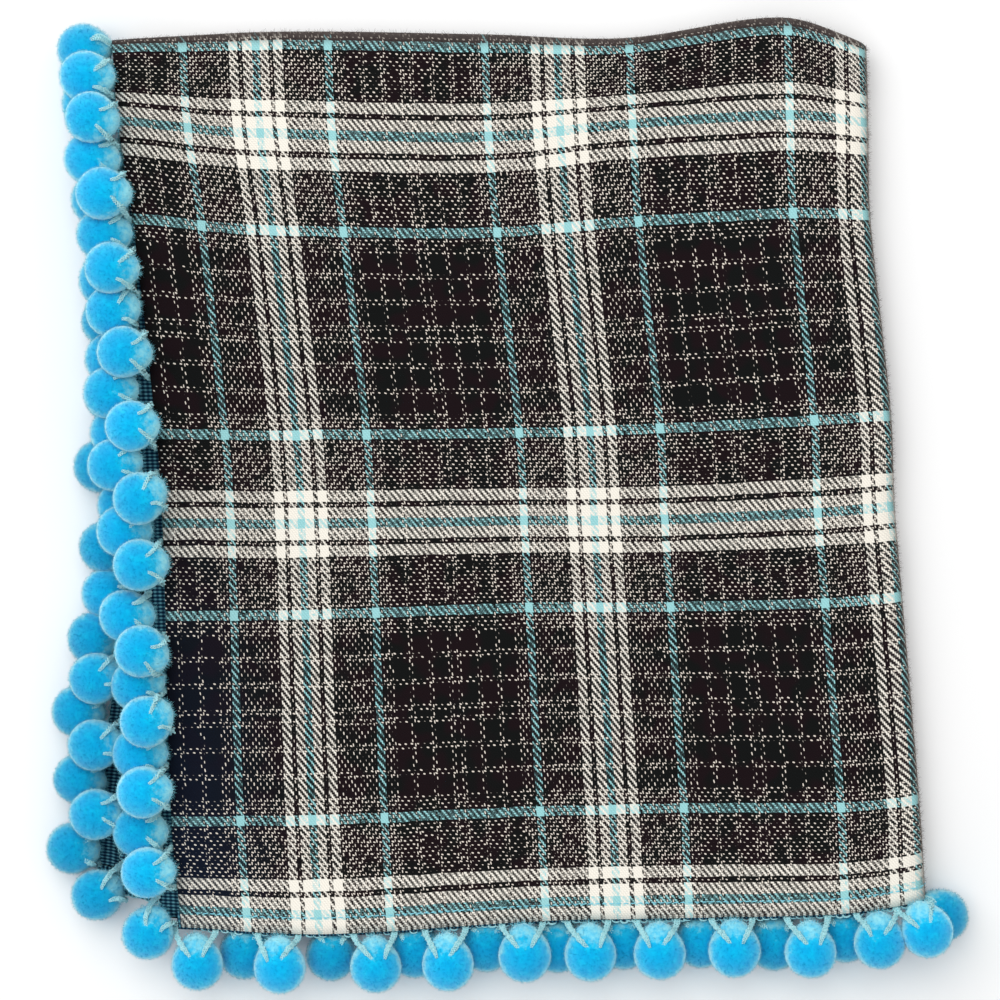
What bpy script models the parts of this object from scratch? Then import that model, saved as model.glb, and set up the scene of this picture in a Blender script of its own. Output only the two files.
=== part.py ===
"""Folded plaid shuka blanket: a rectangular twill sheet folded in half twice, with pompom trim.

The sheet's flat coordinates are u, across, and v, along.  The first fold runs along v = 0 and lies at
the top, and the second runs along u = 0 and lies at the right.  From the top down the four layers are
(u < 0, v < 0), (u < 0, v > 0), (u > 0, v > 0) and (u > 0, v < 0).
World axes: +X to the right of the folded blanket, +Y towards its top fold, +Z up.
"""

import math

import bmesh
import bpy
from mathutils import Matrix, Vector

MM = 0.001

# Sheet
HALF_WIDTH = 388 * MM
HALF_LENGTH = 452 * MM
CLOTH_THICK = 1.6 * MM

# Folds: distances between the middle surfaces of the plies
PLY_HALF_GAP = 1.4 * MM
PLY_HALF_GAP_EDGE = 3.2 * MM
PAIR_GAP = 5.6 * MM
PAIR_GAP_HEM = 13.0 * MM
FOLD_RADIUS = 8.0 * MM
BULGE_REACH = 85 * MM
EDGE_REACH = 60 * MM
RIPPLE = 0.9 * MM
WAVE_ACROSS = 47 * MM
WAVE_LONG = 97 * MM
WAVE_SHORT = 61 * MM

# Trim: a tape sewn to the back of the edge, with pompoms hung from it on cord loops
TAPE_THICK = 0.9 * MM
TAPE_GAP = 0.4 * MM
TAPE_INSIDE = 8.0 * MM
TAPE_OUTSIDE = 3.4 * MM
TAPE_LIFT = CLOTH_THICK / 2 + TAPE_GAP + TAPE_THICK / 2
TAPE_END_GAP = 0.8 * MM
TAPE_HEM_GAP = 1.0 * MM
TAPE_CORNER = 2.0 * MM
POMPOM_RADIUS = 11.8 * MM
POMPOM_HALF_HEIGHT = 9.8 * MM
POMPOM_GAP = 0.5 * MM
LOOP_RADIUS = 1.2 * MM
LOOP_HALF_SPAN = 6.0 * MM
LOOP_ROOT = 2.2 * MM
LOOP_REACH = 24 * MM

# Grid of the sheet: how many steps each stretch has
EDGE_STEPS = 4
FLAT_STEPS = 6
BULGE_STEPS = 4
FOLD_STEPS = 8
SIDE_STEPS = 7
TURN_STEPS = 6
TOP_REACH = 16 * MM

# Settling of the pompoms
SETTLE_STEPS = 260
AIM_PULL = 0.12
SINK = 0.10 * MM
EDGE_HALF_THICK = 2.0 * MM
EDGE_HEIGHTS = (7.2 * MM, 0.8 * MM, 7.2 * MM, 0.8 * MM)
START_HEIGHTS = (42 * MM, 32 * MM, 21 * MM, 10 * MM)

# Position of the box's centre in the frame in which the tables below are measured
CENTRE_X = 3.784 * MM
CENTRE_Y = -237.953 * MM

# Sections along the blanket, in mm.  fold: distance from the top fold along the cloth.  left_1 to left_4:
# where each layer's cut edge lies, and right: the outside of the right fold, from the middle line.
# rise: how far apart the two pairs of plies stand at the left edge.
# down_0 to down_5: how far below the top fold the section lies, at the stations of ACROSS.
SECTION_COLUMNS = ("fold", "left_1", "left_2", "left_3", "left_4", "rise", "right",
                   "down_0", "down_1", "down_2", "down_3", "down_4", "down_5")
SECTIONS = (
    (0.0, -197.4, -197.4, -194.8, -194.8, 15.0, 187.7, 3.1, -2.6, -1.5, 0.5, -9.2, 4.1),
    (50.3, -194.1, -194.3, -191.8, -192.8, 17.0, 188.7, 44.9, 48.5, 50.5, 43.9, 39.8, 43.9),
    (97.1, -186.4, -188.2, -184.6, -187.2, 19.0, 189.7, 94.9, 98.4, 99.5, 93.8, 90.3, 91.3),
    (198.8, -174.2, -180.0, -178.5, -184.6, 20.0, 200.4, 204.0, 203.0, 202.0, 199.9, 195.8, 193.3),
    (245.6, -171.1, -178.0, -179.0, -186.2, 20.0, 202.2, 248.9, 248.4, 246.8, 246.3, 242.8, 239.7),
    (292.4, -169.8, -176.5, -186.7, -189.2, 18.0, 206.0, 295.8, 294.8, 291.2, 290.7, 288.7, 285.6),
    (394.1, -167.1, -172.4, -190.7, -202.0, 14.0, 214.7, 400.4, 399.8, 395.3, 393.7, 392.7, 389.1),
    (450.0, -162.2, -170.3, -192.3, -205.5, 13.0, 217.8, 453.9, 457.5, 450.8, 449.3, 447.0, 441.0),
)
ACROSS = (0.0, 0.19, 0.49, 0.68, 0.89, 1.0)

# Lower layers fall short of layer 1 at the bottom hem, in mm.  Columns: layer; short: all along the hem;
# corner: how much more at the left corner.
HEMS = (
    (1, 0.0, 0.0),
    (2, 1.5, 2.6),
    (3, 2.2, 15.0),
    (4, 1.5, 21.5),
)
CORNER_POWER = 5

# Rows of pompoms.  Columns: side: the edge they hang from.  layer: the layer of that edge.  out: how far the
# centres hang beyond the edge, in mm.  swing: how far they swing from straight out, in degrees.
# places: where they hang, in mm along the cloth from the fold.
ROWS = (
    ("left", 1, 12.5, 0, (26, 54, 88, 123, 162, 196, 230, 267, 314, 341, 378, 420)),
    ("left", 2, 13.0, 0, (5, 40, 72, 105, 140, 178, 214, 252, 295, 328, 364, 404)),
    ("left", 2, 13.5, 60, (446,)),
    ("right", 3, 14.0, 0, (92, 130, 167, 204, 243, 294, 328, 365, 405)),
    ("right", 3, 14.0, 30, (446,)),
    ("right", 4, 14.0, 0, (74, 111, 148, 185, 222, 265, 322, 358, 394, 433)),
    ("bottom", 1, 17.0, 0, (381, 338, 288, 251, 211, 177, 141, 102, 63, 27)),
    ("bottom", 1, 13.0, 15, (7,)),
    ("bottom", 4, 14.0, 50, (4,)),
    ("bottom", 4, 16.0, 0, (319, 279, 240, 207, 174, 143, 107, 73, 40)),
)
OUT_WOBBLE = 1.2 * MM

# Colours
CHARCOAL = (0.022, 0.016, 0.018)
POMPOM_BLUE = (0.01, 0.42, 0.78)

for thing in list(bpy.data.objects):
    bpy.data.objects.remove(thing, do_unlink=True)


def new_collection(name):
    collection = bpy.data.collections.new(name)
    bpy.context.scene.collection.children.link(collection)
    return collection


PARTS = new_collection("folded_shuka_blanket")
OPERANDS = new_collection("operands")


def cloth_material(name, colour, roughness):
    material = bpy.data.materials.new(name)
    material.use_nodes = True
    surface = material.node_tree.nodes["Principled BSDF"]
    surface.inputs["Base Color"].default_value = (*colour, 1.0)
    surface.inputs["Roughness"].default_value = roughness
    return material


def smooth(value):
    """An S-shaped ramp from 0 to 1."""
    value = min(max(value, 0.0), 1.0)
    return value * value * (3 - 2 * value)


def curve_through(stations, values, at):
    """The height at one place of a smooth curve through a value at each station."""
    last = len(stations) - 1
    slopes = []
    for i in range(last + 1):
        low = max(i - 1, 0)
        high = min(i + 1, last)
        slopes.append((values[high] - values[low]) / (stations[high] - stations[low]))
    if at <= stations[0]:
        return values[0] + slopes[0] * (at - stations[0])
    if at >= stations[last]:
        return values[last] + slopes[last] * (at - stations[last])
    i = max(k for k in range(last) if stations[k] <= at)
    span = stations[i + 1] - stations[i]
    t = (at - stations[i]) / span
    start = (1 + 2 * t) * (1 - t) ** 2 * values[i] + t * (1 - t) ** 2 * span * slopes[i]
    end = t * t * (3 - 2 * t) * values[i + 1] - t * t * (1 - t) * span * slopes[i + 1]
    return start + end


def section_value(column, fold_distance):
    """A column of the sections table, read at a distance from the top fold; both in metres."""
    index = SECTION_COLUMNS.index(column)
    stations = [row[0] for row in SECTIONS]
    values = [row[index] for row in SECTIONS]
    return curve_through(stations, values, fold_distance / MM) * MM


def down_value(across, fold_distance):
    """How far a point of layer 1 lies below the top fold's middle, for its share of the width."""
    values = [section_value("down_%d" % i, fold_distance) for i in range(len(ACROSS))]
    return curve_through(ACROSS, values, across)


def hem_short(u, v, across, fold_distance):
    """How much higher than layer 1 a point of another layer lies, most of all at its hem."""
    upper, lower = (HEMS[0], HEMS[3]) if v < 0 else (HEMS[1], HEMS[2])
    lower_share = smooth(0.5 + u / (math.pi * FOLD_RADIUS))
    short = upper[1] + (lower[1] - upper[1]) * lower_share
    corner = upper[2] + (lower[2] - upper[2]) * lower_share
    left_share = 1 - min(max(across, 0.0), 1.0)
    return (short + corner * left_share ** CORNER_POWER) * MM * (fold_distance / HALF_LENGTH) ** 2


def layer_of(u, v):
    if u < 0:
        return 1 if v < 0 else 2
    return 3 if v > 0 else 4


def side_share(u):
    """1 at the side edges, where the layers stand apart, falling to 0 inside the cloth."""
    return smooth(1 - (HALF_WIDTH - abs(u)) / EDGE_REACH)


def hem_share(v):
    return smooth(1 - (HALF_LENGTH - abs(v)) / EDGE_REACH)


def ply_half_gap(u, v):
    return PLY_HALF_GAP + (PLY_HALF_GAP_EDGE - PLY_HALF_GAP) * max(side_share(u), hem_share(v))


def pair_gap(u, v, fold_distance):
    """How far apart the two pairs of plies lie, away from the right fold."""
    at_side = side_share(u)
    at_hem = hem_share(v)
    wave = math.sin(u / WAVE_ACROSS + abs(v) / WAVE_LONG) * math.sin(abs(v) / WAVE_SHORT)
    gap = PAIR_GAP + RIPPLE * (1 + wave) * (1 - at_side) * (1 - at_hem)
    gap += (PAIR_GAP_HEM - gap) * at_hem
    return gap + (section_value("rise", fold_distance) - gap) * at_side


def sheet_point(u, v, lift=0.0):
    """The folded place of a point of the flat sheet, lifted off the middle surface to its right side."""
    half_gap = ply_half_gap(u, v)

    # First fold: how far the point lies from the top, and from the middle of its pair of plies
    side = -1.0 if v < 0 else 1.0
    quarter = half_gap * math.pi / 2
    radius = half_gap + lift
    if abs(v) < quarter:
        turn = abs(v) / half_gap
        fold_distance = half_gap - radius * math.cos(turn)
        offset = -side * radius * math.sin(turn)
    else:
        fold_distance = half_gap + abs(v) - quarter
        offset = -side * radius

    # Second fold: the pair turns round a wide soft bend at the right
    layer = layer_of(u, v)
    bend = FOLD_RADIUS * math.pi / 2
    right = section_value("right", fold_distance) - half_gap - CLOTH_THICK / 2
    left = section_value("left_%d" % layer, fold_distance)
    pair_low = CLOTH_THICK / 2 + half_gap
    if abs(u) < bend:
        turn = u / FOLD_RADIUS
        x = right - FOLD_RADIUS * (1 - math.cos(turn)) + offset * math.cos(turn)
        z = pair_low + FOLD_RADIUS - (FOLD_RADIUS + offset) * math.sin(turn)
    else:
        inner = right - FOLD_RADIUS
        flat = abs(u) - bend
        x = inner - flat * (inner - left) / (HALF_WIDTH - bend)
        bulge = smooth(1 - flat / BULGE_REACH)
        gap = pair_gap(u, v, fold_distance)
        gap += (2 * FOLD_RADIUS - gap) * bulge
        if u < 0:
            z = pair_low + gap + offset
        else:
            z = pair_low - offset

    across = (x - left) / (right - left)
    down = down_value(across, fold_distance) - hem_short(u, v, across, fold_distance)
    return Vector((x - CENTRE_X, -down - CENTRE_Y, z))


def steps_between(low, high, count):
    """Evenly spaced values from low up to, but without, high."""
    return [low + (high - low) * i / count for i in range(count)]


def edge_stations():
    """Distances in from a cut edge: the edge itself, the tape's inner edge, and on to the flat part."""
    return [0.0] + steps_between(TAPE_INSIDE, EDGE_REACH, EDGE_STEPS)


def across_stations():
    """Places across the sheet from left to right, closer together at its edges and round the right fold."""
    bend = FOLD_RADIUS * math.pi / 2
    upper = [distance - HALF_WIDTH for distance in edge_stations()]
    upper += steps_between(EDGE_REACH - HALF_WIDTH, -BULGE_REACH - bend, FLAT_STEPS)
    upper += steps_between(-BULGE_REACH - bend, -bend, BULGE_STEPS)
    lower = [-u for u in reversed(upper)]
    return upper + steps_between(-bend, bend, FOLD_STEPS) + [bend] + lower


def along_stations(first, last):
    """Places along the sheet, from first to last, as pairs (distance, share of the top fold's turn)."""
    upper = [distance - HALF_LENGTH for distance in edge_stations()]
    upper += steps_between(EDGE_REACH - HALF_LENGTH, -TOP_REACH, SIDE_STEPS) + [-TOP_REACH]
    before = [(v, None) for v in upper if v > first]
    turn = [(None, -1 + 2 * i / TURN_STEPS) for i in range(TURN_STEPS + 1)]
    after = [(-v, None) for v in reversed(upper) if -v < last]
    return [(first, None)] + before + turn + after + [(last, None)]


def turn_place(u, share):
    """Distance along the sheet of a point of the top fold's turn, from -1 to 1 of the turn."""
    return share * ply_half_gap(u, 0.0) * math.pi / 2


def open_sheet(name, across, along, lift, thick, material):
    """A folded surface on a grid of places, thickened evenly to both sides."""
    points = []
    for v, share in along:
        for u in across:
            place = turn_place(u, share) if v is None else v
            points.append(sheet_point(u, place, lift))
    row = len(across)
    faces = []
    for j in range(len(along) - 1):
        for i in range(row - 1):
            corner = j * row + i
            faces.append((corner, corner + 1, corner + row + 1, corner + row))
    mesh = bpy.data.meshes.new(name)
    mesh.from_pydata(points, [], faces)
    mesh.materials.append(material)
    sheet = bpy.data.objects.new(name, mesh)
    PARTS.objects.link(sheet)
    shell = sheet.modifiers.new("thickness", "SOLIDIFY")
    shell.thickness = thick
    shell.offset = 0.0
    shell.use_even_offset = True
    shell.use_quality_normals = True
    return sheet


def edge_place(side, place, beyond):
    """Flat coordinates of a point at a cut edge, and beyond it by a distance."""
    if side == "left":
        return -HALF_WIDTH - beyond, place
    if side == "right":
        return HALF_WIDTH + beyond, place
    return place, -HALF_LENGTH - beyond


def row_sign(side, layer):
    """Which way a row's places count along the sheet's edge from the fold."""
    if side == "bottom":
        return -1 if layer == 1 else 1
    return -1 if layer in (1, 4) else 1


def pompom_list():
    """Every pompom as a dictionary: where its loops start, and where it would like to hang."""
    pompoms = []
    for side, layer, out, swing, places in ROWS:
        for index, distance in enumerate(places):
            place = row_sign(side, layer) * distance * MM
            edge = sheet_point(*edge_place(side, place, 0.0), -TAPE_LIFT)
            root = sheet_point(*edge_place(side, place, TAPE_OUTSIDE), -TAPE_LIFT)
            straight = math.atan2(root[1] - edge[1], root[0] - edge[0])
            reach = out * MM + OUT_WOBBLE * math.sin(2.4 * index + layer)
            heading = straight + math.radians(swing)
            aim = (edge[0] + reach * math.cos(heading), edge[1] + reach * math.sin(heading))
            pompoms.append({
                "side": side,
                "layer": layer,
                "place": place,
                "root": tuple(root),
                "aim": aim,
            })
    return pompoms


def layer_edges(x, y):
    """For each layer: how far a plan position lies left of it, right of it and below it, and its height."""
    down = -(y + CENTRE_Y)
    fold_distance = min(max(down, 0.0), HALF_LENGTH)
    edges = []
    for layer in (1, 2, 3, 4):
        left = section_value("left_%d" % layer, fold_distance)
        right = section_value("right", fold_distance)
        across = (x + CENTRE_X - left) / (right - left)
        u = -0.5 * HALF_WIDTH if layer < 3 else 0.5 * HALF_WIDTH
        v = -HALF_LENGTH if layer in (1, 4) else HALF_LENGTH
        clamped = min(max(across, 0.0), 1.0)
        hem = down_value(clamped, HALF_LENGTH) - hem_short(u, v, clamped, HALF_LENGTH)
        tape = TAPE_OUTSIDE if layer in (1, 4) else 0.0
        height = EDGE_HEIGHTS[layer - 1]
        if layer < 3:
            height += section_value("rise", fold_distance) if down < hem - EDGE_REACH / 2 else PAIR_GAP_HEM
        beyond_left = left - TAPE_OUTSIDE - (x + CENTRE_X)
        beyond_right = x + CENTRE_X - right
        edges.append((beyond_left, beyond_right, down - hem - tape, height))
    return edges


def push_apart(first, second, distance):
    """Moves two places apart until they are a distance from each other."""
    step = [second[i] - first[i] for i in range(3)]
    length = math.sqrt(sum(value * value for value in step))
    if length >= distance:
        return
    length = max(length, 1e-6)
    for i in range(3):
        shift = step[i] / length * (distance - length) / 2
        first[i] -= shift
        second[i] += shift


def settled_pompoms():
    """Lets the pompoms sink and lean on each other, the layers and the floor, in heights that are
    stretched so that each flattened pompom is a ball."""
    stretch = POMPOM_RADIUS / POMPOM_HALF_HEIGHT
    pompoms = pompom_list()
    for pompom in pompoms:
        lift = START_HEIGHTS[pompom["layer"] - 1]
        pompom["ball"] = [pompom["aim"][0], pompom["aim"][1], lift * stretch]
    clear = POMPOM_RADIUS + POMPOM_GAP
    for step in range(SETTLE_STEPS):
        easing = 1 - step / SETTLE_STEPS
        for pompom in pompoms:
            ball = pompom["ball"]
            for i in (0, 1):
                ball[i] += (pompom["aim"][i] - ball[i]) * AIM_PULL * easing
            ball[2] -= SINK * easing
            root = (pompom["root"][0], pompom["root"][1], pompom["root"][2] * stretch)
            away = [ball[i] - root[i] for i in range(3)]
            length = math.sqrt(sum(value * value for value in away))
            if length > LOOP_REACH:
                for i in range(3):
                    ball[i] = root[i] + away[i] * LOOP_REACH / length
        for i, one in enumerate(pompoms):
            for other in pompoms[i + 1:]:
                if abs(one["ball"][0] - other["ball"][0]) < 2 * clear:
                    if abs(one["ball"][1] - other["ball"][1]) < 2 * clear:
                        push_apart(one["ball"], other["ball"], 2 * clear - POMPOM_GAP)
        for pompom in pompoms:
            ball = pompom["ball"]
            for beyond_left, beyond_right, beyond_hem, height in layer_edges(ball[0], ball[1]):
                sideways = max(beyond_right, 0.0) - max(beyond_left, 0.0)
                beside = math.hypot(sideways, max(beyond_hem, 0.0))
                above = ball[2] - height * stretch
                rise = max(abs(above) - EDGE_HALF_THICK * stretch, 0.0)
                gap = math.hypot(beside, rise)
                if gap >= clear or beside >= clear:
                    continue
                if beside > 0:
                    share = (clear - gap) / max(gap, 1e-6)
                    ball[0] += sideways * share
                    ball[1] -= max(beyond_hem, 0.0) * share
                    ball[2] += math.copysign(rise * share, above)
                else:
                    ball[2] = height * stretch + EDGE_HALF_THICK * stretch + clear
            ball[2] = max(ball[2], POMPOM_RADIUS)
    for pompom in pompoms:
        ball = pompom["ball"]
        pompom["centre"] = (ball[0], ball[1], ball[2] / stretch)
    return pompoms


def add_ball(tool, centre):
    flattened = Matrix.Diagonal((1.0, 1.0, POMPOM_HALF_HEIGHT / POMPOM_RADIUS, 1.0))
    place = Matrix.Translation(centre) @ flattened
    bmesh.ops.create_icosphere(tool, subdivisions=2, radius=POMPOM_RADIUS, matrix=place)


def add_leg(tool, start, end):
    """One leg of a cord loop, with three sides, from the tape to the middle of a pompom."""
    along = end - start
    turn = along.to_track_quat("Z", "Y").to_matrix().to_4x4()
    place = Matrix.Translation((start + end) / 2) @ turn
    bmesh.ops.create_cone(
        tool, cap_ends=True, segments=3, radius1=LOOP_RADIUS, radius2=LOOP_RADIUS,
        depth=along.length, matrix=place)


def add_trim(side, across, along, pompoms, material):
    """A tape along one edge with its pompoms and their loops, all one solid."""
    name = "trim_" + side
    tape = open_sheet(name, across, along, -TAPE_LIFT, TAPE_THICK, material)
    tool = bmesh.new()
    for pompom in pompoms:
        if pompom["side"] != side:
            continue
        centre = Vector(pompom["centre"])
        add_ball(tool, centre)
        for shift in (-LOOP_HALF_SPAN, LOOP_HALF_SPAN):
            flat_place = edge_place(side, pompom["place"] + shift, LOOP_ROOT)
            add_leg(tool, sheet_point(*flat_place, -TAPE_LIFT), centre)
    mesh = bpy.data.meshes.new(name + "_pompoms")
    tool.to_mesh(mesh)
    tool.free()
    mesh.materials.append(material)
    hung = bpy.data.objects.new(name + "_pompoms", mesh)
    OPERANDS.objects.link(hung)
    hung.hide_render = True
    hung.display_type = "WIRE"
    join = tape.modifiers.new("pompoms", "BOOLEAN")
    join.operation = "UNION"
    join.solver = "EXACT"
    join.use_self = True
    join.object = hung


def build():
    plaid = cloth_material("brushed_twill", CHARCOAL, 0.95)
    blue = cloth_material("blue_trim", POMPOM_BLUE, 0.9)
    across = across_stations()
    open_sheet("cloth", across, along_stations(-HALF_LENGTH, HALF_LENGTH), 0.0, CLOTH_THICK, plaid)

    pompoms = settled_pompoms()
    tape_end = HALF_LENGTH - TAPE_INSIDE - TAPE_END_GAP
    along = along_stations(-tape_end, HALF_LENGTH - TAPE_HEM_GAP)
    outer = HALF_WIDTH + TAPE_OUTSIDE
    inner = HALF_WIDTH - TAPE_INSIDE
    add_trim("left", [-outer, -HALF_WIDTH, -inner], along, pompoms, blue)
    add_trim("right", [inner, HALF_WIDTH, outer], along, pompoms, blue)
    hem_across = [-HALF_WIDTH - TAPE_CORNER] + across + [HALF_WIDTH + TAPE_CORNER]
    hem_along = [(-HALF_LENGTH - TAPE_OUTSIDE, None), (-HALF_LENGTH, None), (TAPE_INSIDE - HALF_LENGTH, None)]
    add_trim("bottom", hem_across, hem_along, pompoms, blue)


build()
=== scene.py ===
"""Looks of the folded plaid shuka blanket: woven twill, ribbed tapes, braided loops and fluffy pompoms.

The cloth follows the same folds as its solid.  The sheet's flat coordinates are u, across, and v, along.
The first fold runs along v = 0 at the top, and the second along u = 0 at the right.
"""

import math

import bpy
import numpy as np
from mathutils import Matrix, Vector


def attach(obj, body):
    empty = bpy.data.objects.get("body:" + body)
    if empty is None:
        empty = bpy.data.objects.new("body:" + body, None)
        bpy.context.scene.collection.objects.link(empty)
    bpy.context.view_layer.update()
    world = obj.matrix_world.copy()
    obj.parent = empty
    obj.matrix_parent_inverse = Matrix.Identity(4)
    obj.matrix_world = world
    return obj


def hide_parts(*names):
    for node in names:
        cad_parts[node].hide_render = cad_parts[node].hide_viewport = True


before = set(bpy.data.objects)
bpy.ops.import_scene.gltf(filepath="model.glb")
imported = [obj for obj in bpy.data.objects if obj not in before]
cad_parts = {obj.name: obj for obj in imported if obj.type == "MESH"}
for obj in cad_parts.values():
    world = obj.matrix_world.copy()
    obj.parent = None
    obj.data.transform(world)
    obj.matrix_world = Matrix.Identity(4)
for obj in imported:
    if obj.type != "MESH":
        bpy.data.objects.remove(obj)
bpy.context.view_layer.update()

MM = 0.001
TINY = 1e-12
UP = np.array((0.0, 0.0, 1.0))

# Sheet
HALF_WIDTH = 388 * MM
HALF_LENGTH = 452 * MM
CLOTH_THICK = 1.6 * MM

# Folds: distances between the middle surfaces of the plies
PLY_HALF_GAP = 1.4 * MM
PLY_HALF_GAP_EDGE = 3.2 * MM
PAIR_GAP = 5.6 * MM
PAIR_GAP_HEM = 13.0 * MM
FOLD_RADIUS = 8.0 * MM
BULGE_REACH = 85 * MM
EDGE_REACH = 60 * MM
RIPPLE = 0.9 * MM
WAVE_ACROSS = 47 * MM
WAVE_LONG = 97 * MM
WAVE_SHORT = 61 * MM

# Trim: a tape sewn to the back of the edge, with pompoms hung from it on cord loops
TAPE_THICK = 0.9 * MM
TAPE_GAP = 0.4 * MM
TAPE_INSIDE = 8.0 * MM
TAPE_OUTSIDE = 3.4 * MM
TAPE_LIFT = CLOTH_THICK / 2 + TAPE_GAP + TAPE_THICK / 2
TAPE_END_GAP = 0.8 * MM
TAPE_HEM_GAP = 1.0 * MM
TAPE_CORNER = 2.0 * MM
POMPOM_RADIUS = 11.8 * MM
POMPOM_HALF_HEIGHT = 9.8 * MM
POMPOM_GAP = 0.5 * MM
LOOP_REACH = 24 * MM

# Settling of the pompoms
SETTLE_STEPS = 260
AIM_PULL = 0.12
SINK = 0.10 * MM
EDGE_HALF_THICK = 2.0 * MM
EDGE_HEIGHTS = (7.2 * MM, 0.8 * MM, 7.2 * MM, 0.8 * MM)
START_HEIGHTS = (42 * MM, 32 * MM, 21 * MM, 10 * MM)

# Position of the box's centre in the frame in which the tables below are measured
CENTRE_X = 3.784 * MM
CENTRE_Y = -237.953 * MM

# Sections along the blanket, in mm.  fold: distance from the top fold along the cloth.  left_1 to left_4:
# where each layer's cut edge lies, and right: the outside of the right fold, from the middle line.
# rise: how far apart the two pairs of plies stand at the left edge.
# down_0 to down_5: how far below the top fold the section lies, at the stations of ACROSS.
SECTION_COLUMNS = ("fold", "left_1", "left_2", "left_3", "left_4", "rise", "right",
                   "down_0", "down_1", "down_2", "down_3", "down_4", "down_5")
SECTIONS = (
    (0.0, -197.4, -197.4, -194.8, -194.8, 15.0, 187.7, 3.1, -2.6, -1.5, 0.5, -9.2, 4.1),
    (50.3, -194.1, -194.3, -191.8, -192.8, 17.0, 188.7, 44.9, 48.5, 50.5, 43.9, 39.8, 43.9),
    (97.1, -186.4, -188.2, -184.6, -187.2, 19.0, 189.7, 94.9, 98.4, 99.5, 93.8, 90.3, 91.3),
    (198.8, -174.2, -180.0, -178.5, -184.6, 20.0, 200.4, 204.0, 203.0, 202.0, 199.9, 195.8, 193.3),
    (245.6, -171.1, -178.0, -179.0, -186.2, 20.0, 202.2, 248.9, 248.4, 246.8, 246.3, 242.8, 239.7),
    (292.4, -169.8, -176.5, -186.7, -189.2, 18.0, 206.0, 295.8, 294.8, 291.2, 290.7, 288.7, 285.6),
    (394.1, -167.1, -172.4, -190.7, -202.0, 14.0, 214.7, 400.4, 399.8, 395.3, 393.7, 392.7, 389.1),
    (450.0, -162.2, -170.3, -192.3, -205.5, 13.0, 217.8, 453.9, 457.5, 450.8, 449.3, 447.0, 441.0),
)
ACROSS = (0.0, 0.19, 0.49, 0.68, 0.89, 1.0)

# How far the layers fall short of layer 1 at the bottom hem, in mm: all along it, and more at its left corner
HEM_SHORT = (0.0, 1.5, 2.2, 1.5)
CORNER_SHORT = (0.0, 2.6, 15.0, 21.5)
CORNER_POWER = 5

# Rows of pompoms.  Columns: side: the edge they hang from.  layer: the layer of that edge.  out: how far the
# centres hang beyond the edge, in mm.  swing: how far they swing from straight out, in degrees.
# places: where they hang, in mm along the cloth from the fold.
ROWS = (
    ("left", 1, 12.5, 0, (26, 54, 88, 123, 162, 196, 230, 267, 314, 341, 378, 420)),
    ("left", 2, 13.0, 0, (5, 40, 72, 105, 140, 178, 214, 252, 295, 328, 364, 404)),
    ("left", 2, 13.5, 60, (446,)),
    ("right", 3, 14.0, 0, (92, 130, 167, 204, 243, 294, 328, 365, 405)),
    ("right", 3, 14.0, 30, (446,)),
    ("right", 4, 14.0, 0, (74, 111, 148, 185, 222, 265, 322, 358, 394, 433)),
    ("bottom", 1, 17.0, 0, (381, 338, 288, 251, 211, 177, 141, 102, 63, 27)),
    ("bottom", 1, 13.0, 15, (7,)),
    ("bottom", 4, 14.0, 50, (4,)),
    ("bottom", 4, 16.0, 0, (319, 279, 240, 207, 174, 143, 107, 73, 40)),
)
OUT_WOBBLE = 1.2 * MM
WOBBLE_STEP = 2.4

# Finer grid than the solids have
CLOTH_STEP = 5.0 * MM
TAPE_STEP = 5.0 * MM
FOLD_STEP = 1.8 * MM
TURN_STEPS = 10
TOP_REACH = 16 * MM

# Creases.  Columns: from (x0, down0) to (x1, down1): where each runs, from the middle line and the top fold.
# width: its half width.  height: how far it rises, or sinks if negative.  All in mm.
CREASES = (
    (-150, 30, -40, 60, 14, 0.9),
    (-20, 22, 95, 38, 11, -0.7),
    (120, 20, 172, 120, 15, 1.3),
    (-160, 150, -60, 128, 18, 0.8),
    (10, 160, 120, 190, 20, -0.7),
    (-168, 250, -80, 290, 17, 1.0),
    (-30, 245, 70, 275, 22, 0.7),
    (90, 290, 196, 262, 16, 0.9),
    (-150, 345, -30, 368, 19, -0.8),
    (40, 350, 150, 330, 22, 0.8),
    (-120, 420, -40, 395, 15, 1.0),
    (60, 425, 175, 402, 16, -0.7),
    (165, 180, 185, 340, 12, 0.9),
)
CREASE_FADE = 0.75
STACK_HEIGHT = 24 * MM

# Puckers along the cut edges.  The drifts say how much, and over what distance, their pitch varies.
PUCKER = 0.35 * MM
PUCKER_REACH = 14 * MM
PUCKER_WAVE = 5.6 * MM
SIDE_DRIFT = (1.7, 83 * MM)
HEM_DRIFT = (1.5, 71 * MM)

# Weave: threads, and the middle of one pale band each way
WARP_PITCH = 0.791 * MM
WEFT_PITCH = 0.999 * MM
WARP_BAND = -316.2 * MM
WEFT_BAND = -51.1 * MM
LAST_WEFT = -400.0
WEAVE_DEPTH = 0.25 * MM

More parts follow.
